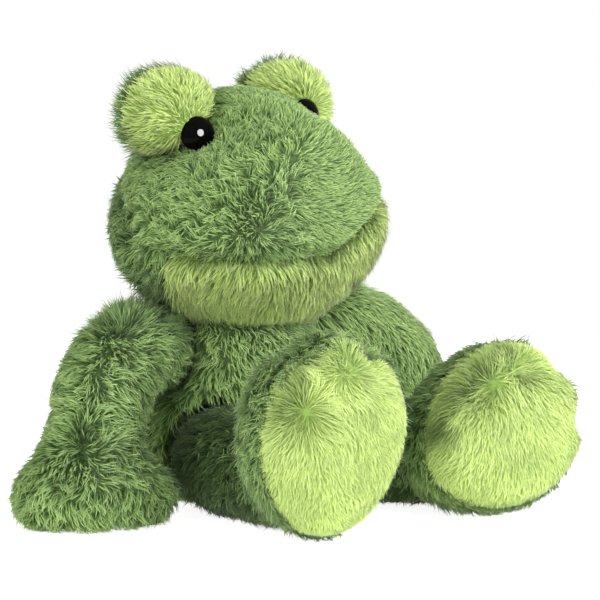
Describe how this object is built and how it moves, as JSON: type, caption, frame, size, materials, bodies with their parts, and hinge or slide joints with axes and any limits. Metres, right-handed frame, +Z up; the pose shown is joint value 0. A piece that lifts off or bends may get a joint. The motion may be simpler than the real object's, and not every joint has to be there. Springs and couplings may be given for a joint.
{
  "type": "plush frog",
  "caption": "Sitting plush frog with a turning head, swinging arms and legs, raised eye domes, a light lip and light soles",
  "frame": {"origin": "middle of the flat under the seat, on the surface that the frog sits on", "axes": "+Z up, the frog faces -Y, +X is the frog's own left"},
  "size_m": [0.3135, 0.2174, 0.2258],
  "materials": {
    "green_plush": "long pile",
    "light_plush": "long pile",
    "stuffing": "loose fibre",
    "pellets": "matte",
    "eye": "gloss",
    "washer": "matte"
  },
  "bodies": {
    "torso": {"torso_front_panel": "green_plush", "torso_back_panel": "green_plush", "torso_stuffing": "stuffing", "seat_pellet_pouch": "pellets"},
    "head": {"lip_panel": "light_plush", "head_back_panel": "green_plush", "head_gusset": "green_plush", "head_side_panel_right": "green_plush", "head_side_panel_left": "green_plush", "head_stuffing": "stuffing", "eye_dome_front_right": "light_plush", "eye_dome_back_right": "green_plush", "eye_dome_stuffing_right": "stuffing", "eye_right": "eye", "eye_washer_right": "washer", "eye_dome_front_left": "light_plush", "eye_dome_back_left": "green_plush", "eye_dome_stuffing_left": "stuffing", "eye_left": "eye", "eye_washer_left": "washer"},
    "arm_right": {"arm_outer_panel_right": "green_plush", "arm_inner_panel_right": "green_plush", "arm_stuffing_right": "stuffing"},
    "arm_left": {"arm_outer_panel_left": "green_plush", "arm_inner_panel_left": "green_plush", "arm_stuffing_left": "stuffing"},
    "leg_right": {"sole_panel_right": "light_plush", "leg_outer_panel_right": "green_plush", "leg_inner_panel_right": "green_plush", "leg_stuffing_right": "stuffing"},
    "leg_left": {"sole_panel_left": "light_plush", "leg_outer_panel_left": "green_plush", "leg_inner_panel_left": "green_plush", "leg_stuffing_left": "stuffing"}
  },
  "joints": [
    {"name": "head_turn", "type": "hinge", "parent": "torso", "child": "head", "pos_m": [0, 0.005, 0.1], "axis": [0, 0, 1], "range_deg": [-20, 20]},
    {"name": "arm_lift_right", "type": "hinge", "parent": "torso", "child": "arm_right", "pos_m": [-0.054, 0.009, 0.08], "axis": [-0.5739, 0.8189, 0], "range_deg": [0, 24]},
    {"name": "arm_lift_left", "type": "hinge", "parent": "torso", "child": "arm_left", "pos_m": [0.054, 0.009, 0.08], "axis": [-0.5739, -0.8189, 0], "range_deg": [0, 24]},
    {"name": "leg_swing_right", "type": "hinge", "parent": "torso", "child": "leg_right", "pos_m": [-0.036, -0.027, 0.028], "axis": [-1, 0, 0], "range_deg": [-45, 12]},
    {"name": "leg_swing_left", "type": "hinge", "parent": "torso", "child": "leg_left", "pos_m": [0.036, -0.027, 0.028], "axis": [-1, 0, 0], "range_deg": [-45, 12]}
  ]
}
